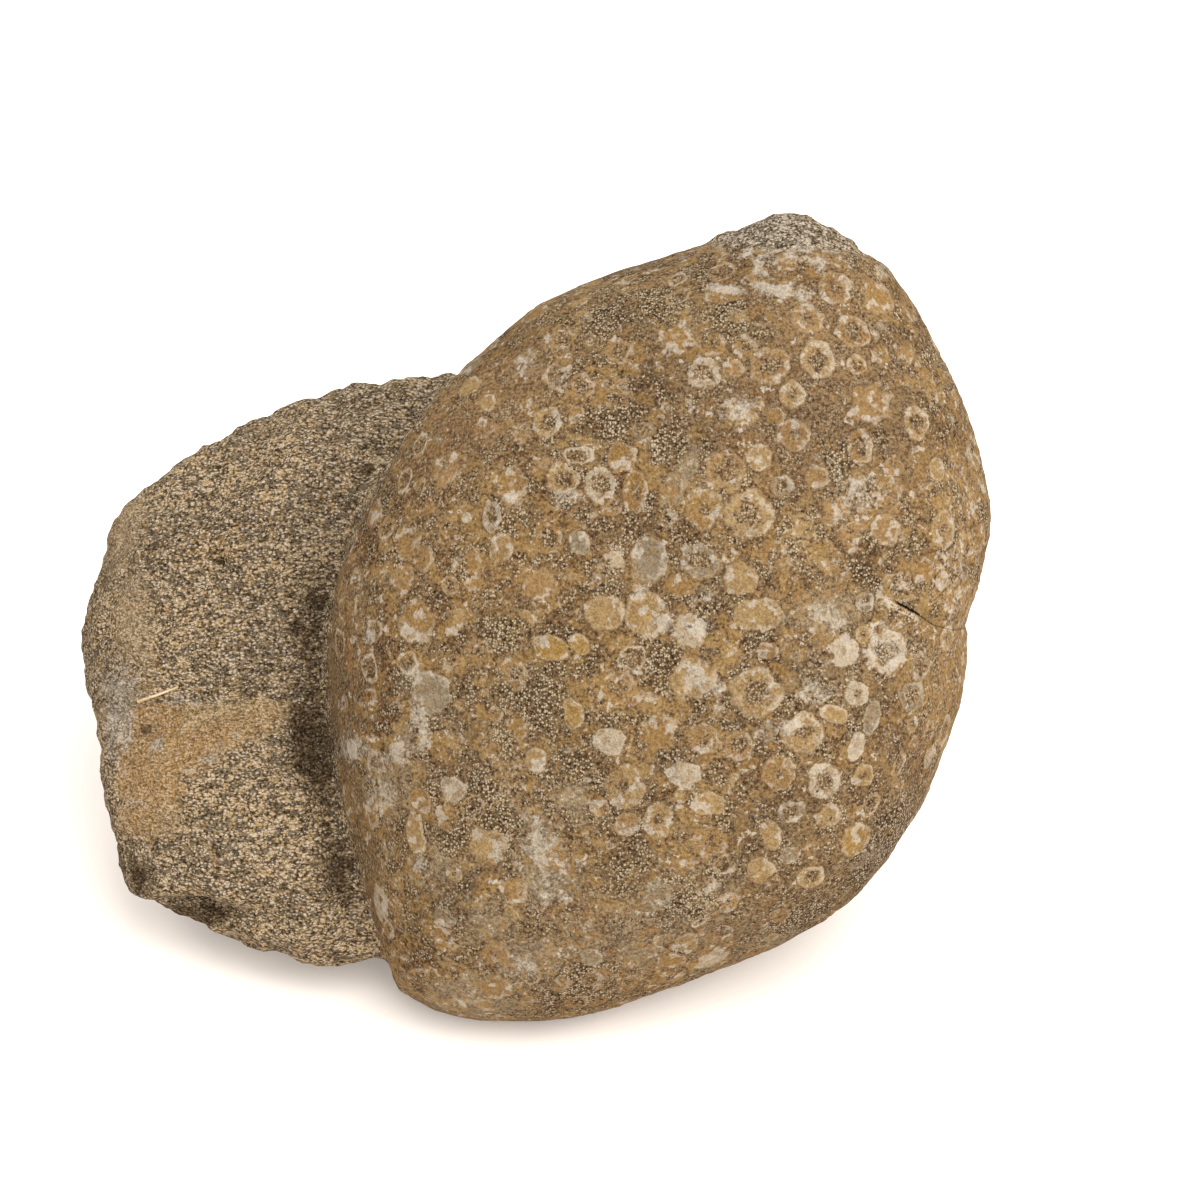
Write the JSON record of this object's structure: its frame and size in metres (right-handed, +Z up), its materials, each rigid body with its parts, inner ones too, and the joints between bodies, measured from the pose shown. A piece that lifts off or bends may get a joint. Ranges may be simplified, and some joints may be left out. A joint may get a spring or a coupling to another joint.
{
  "type": "fossil coral head",
  "caption": "Loose rounded boulder of fossil colonial coral, with a domed face of coral rings leaning back and a lower sandy lobe at one side; it rests on a flat break.",
  "frame": {"origin": "centre of the footprint of the boulder's bounding box, on the surface that it rests on", "axes": "+Z up; +X along the longest side, from the low sandy lobe towards the coral dome; the coral face looks towards -Y and up"},
  "size_m": [0.1749, 0.1159, 0.1302],
  "materials": {
    "fossil_limestone": "weathered brown and tan limestone, matt and finely gritty, mottled with ochre, grey and cream coral rings"
  },
  "bodies": {
    "root": {"coral_head": "fossil_limestone"}
  },
  "joints": []
}
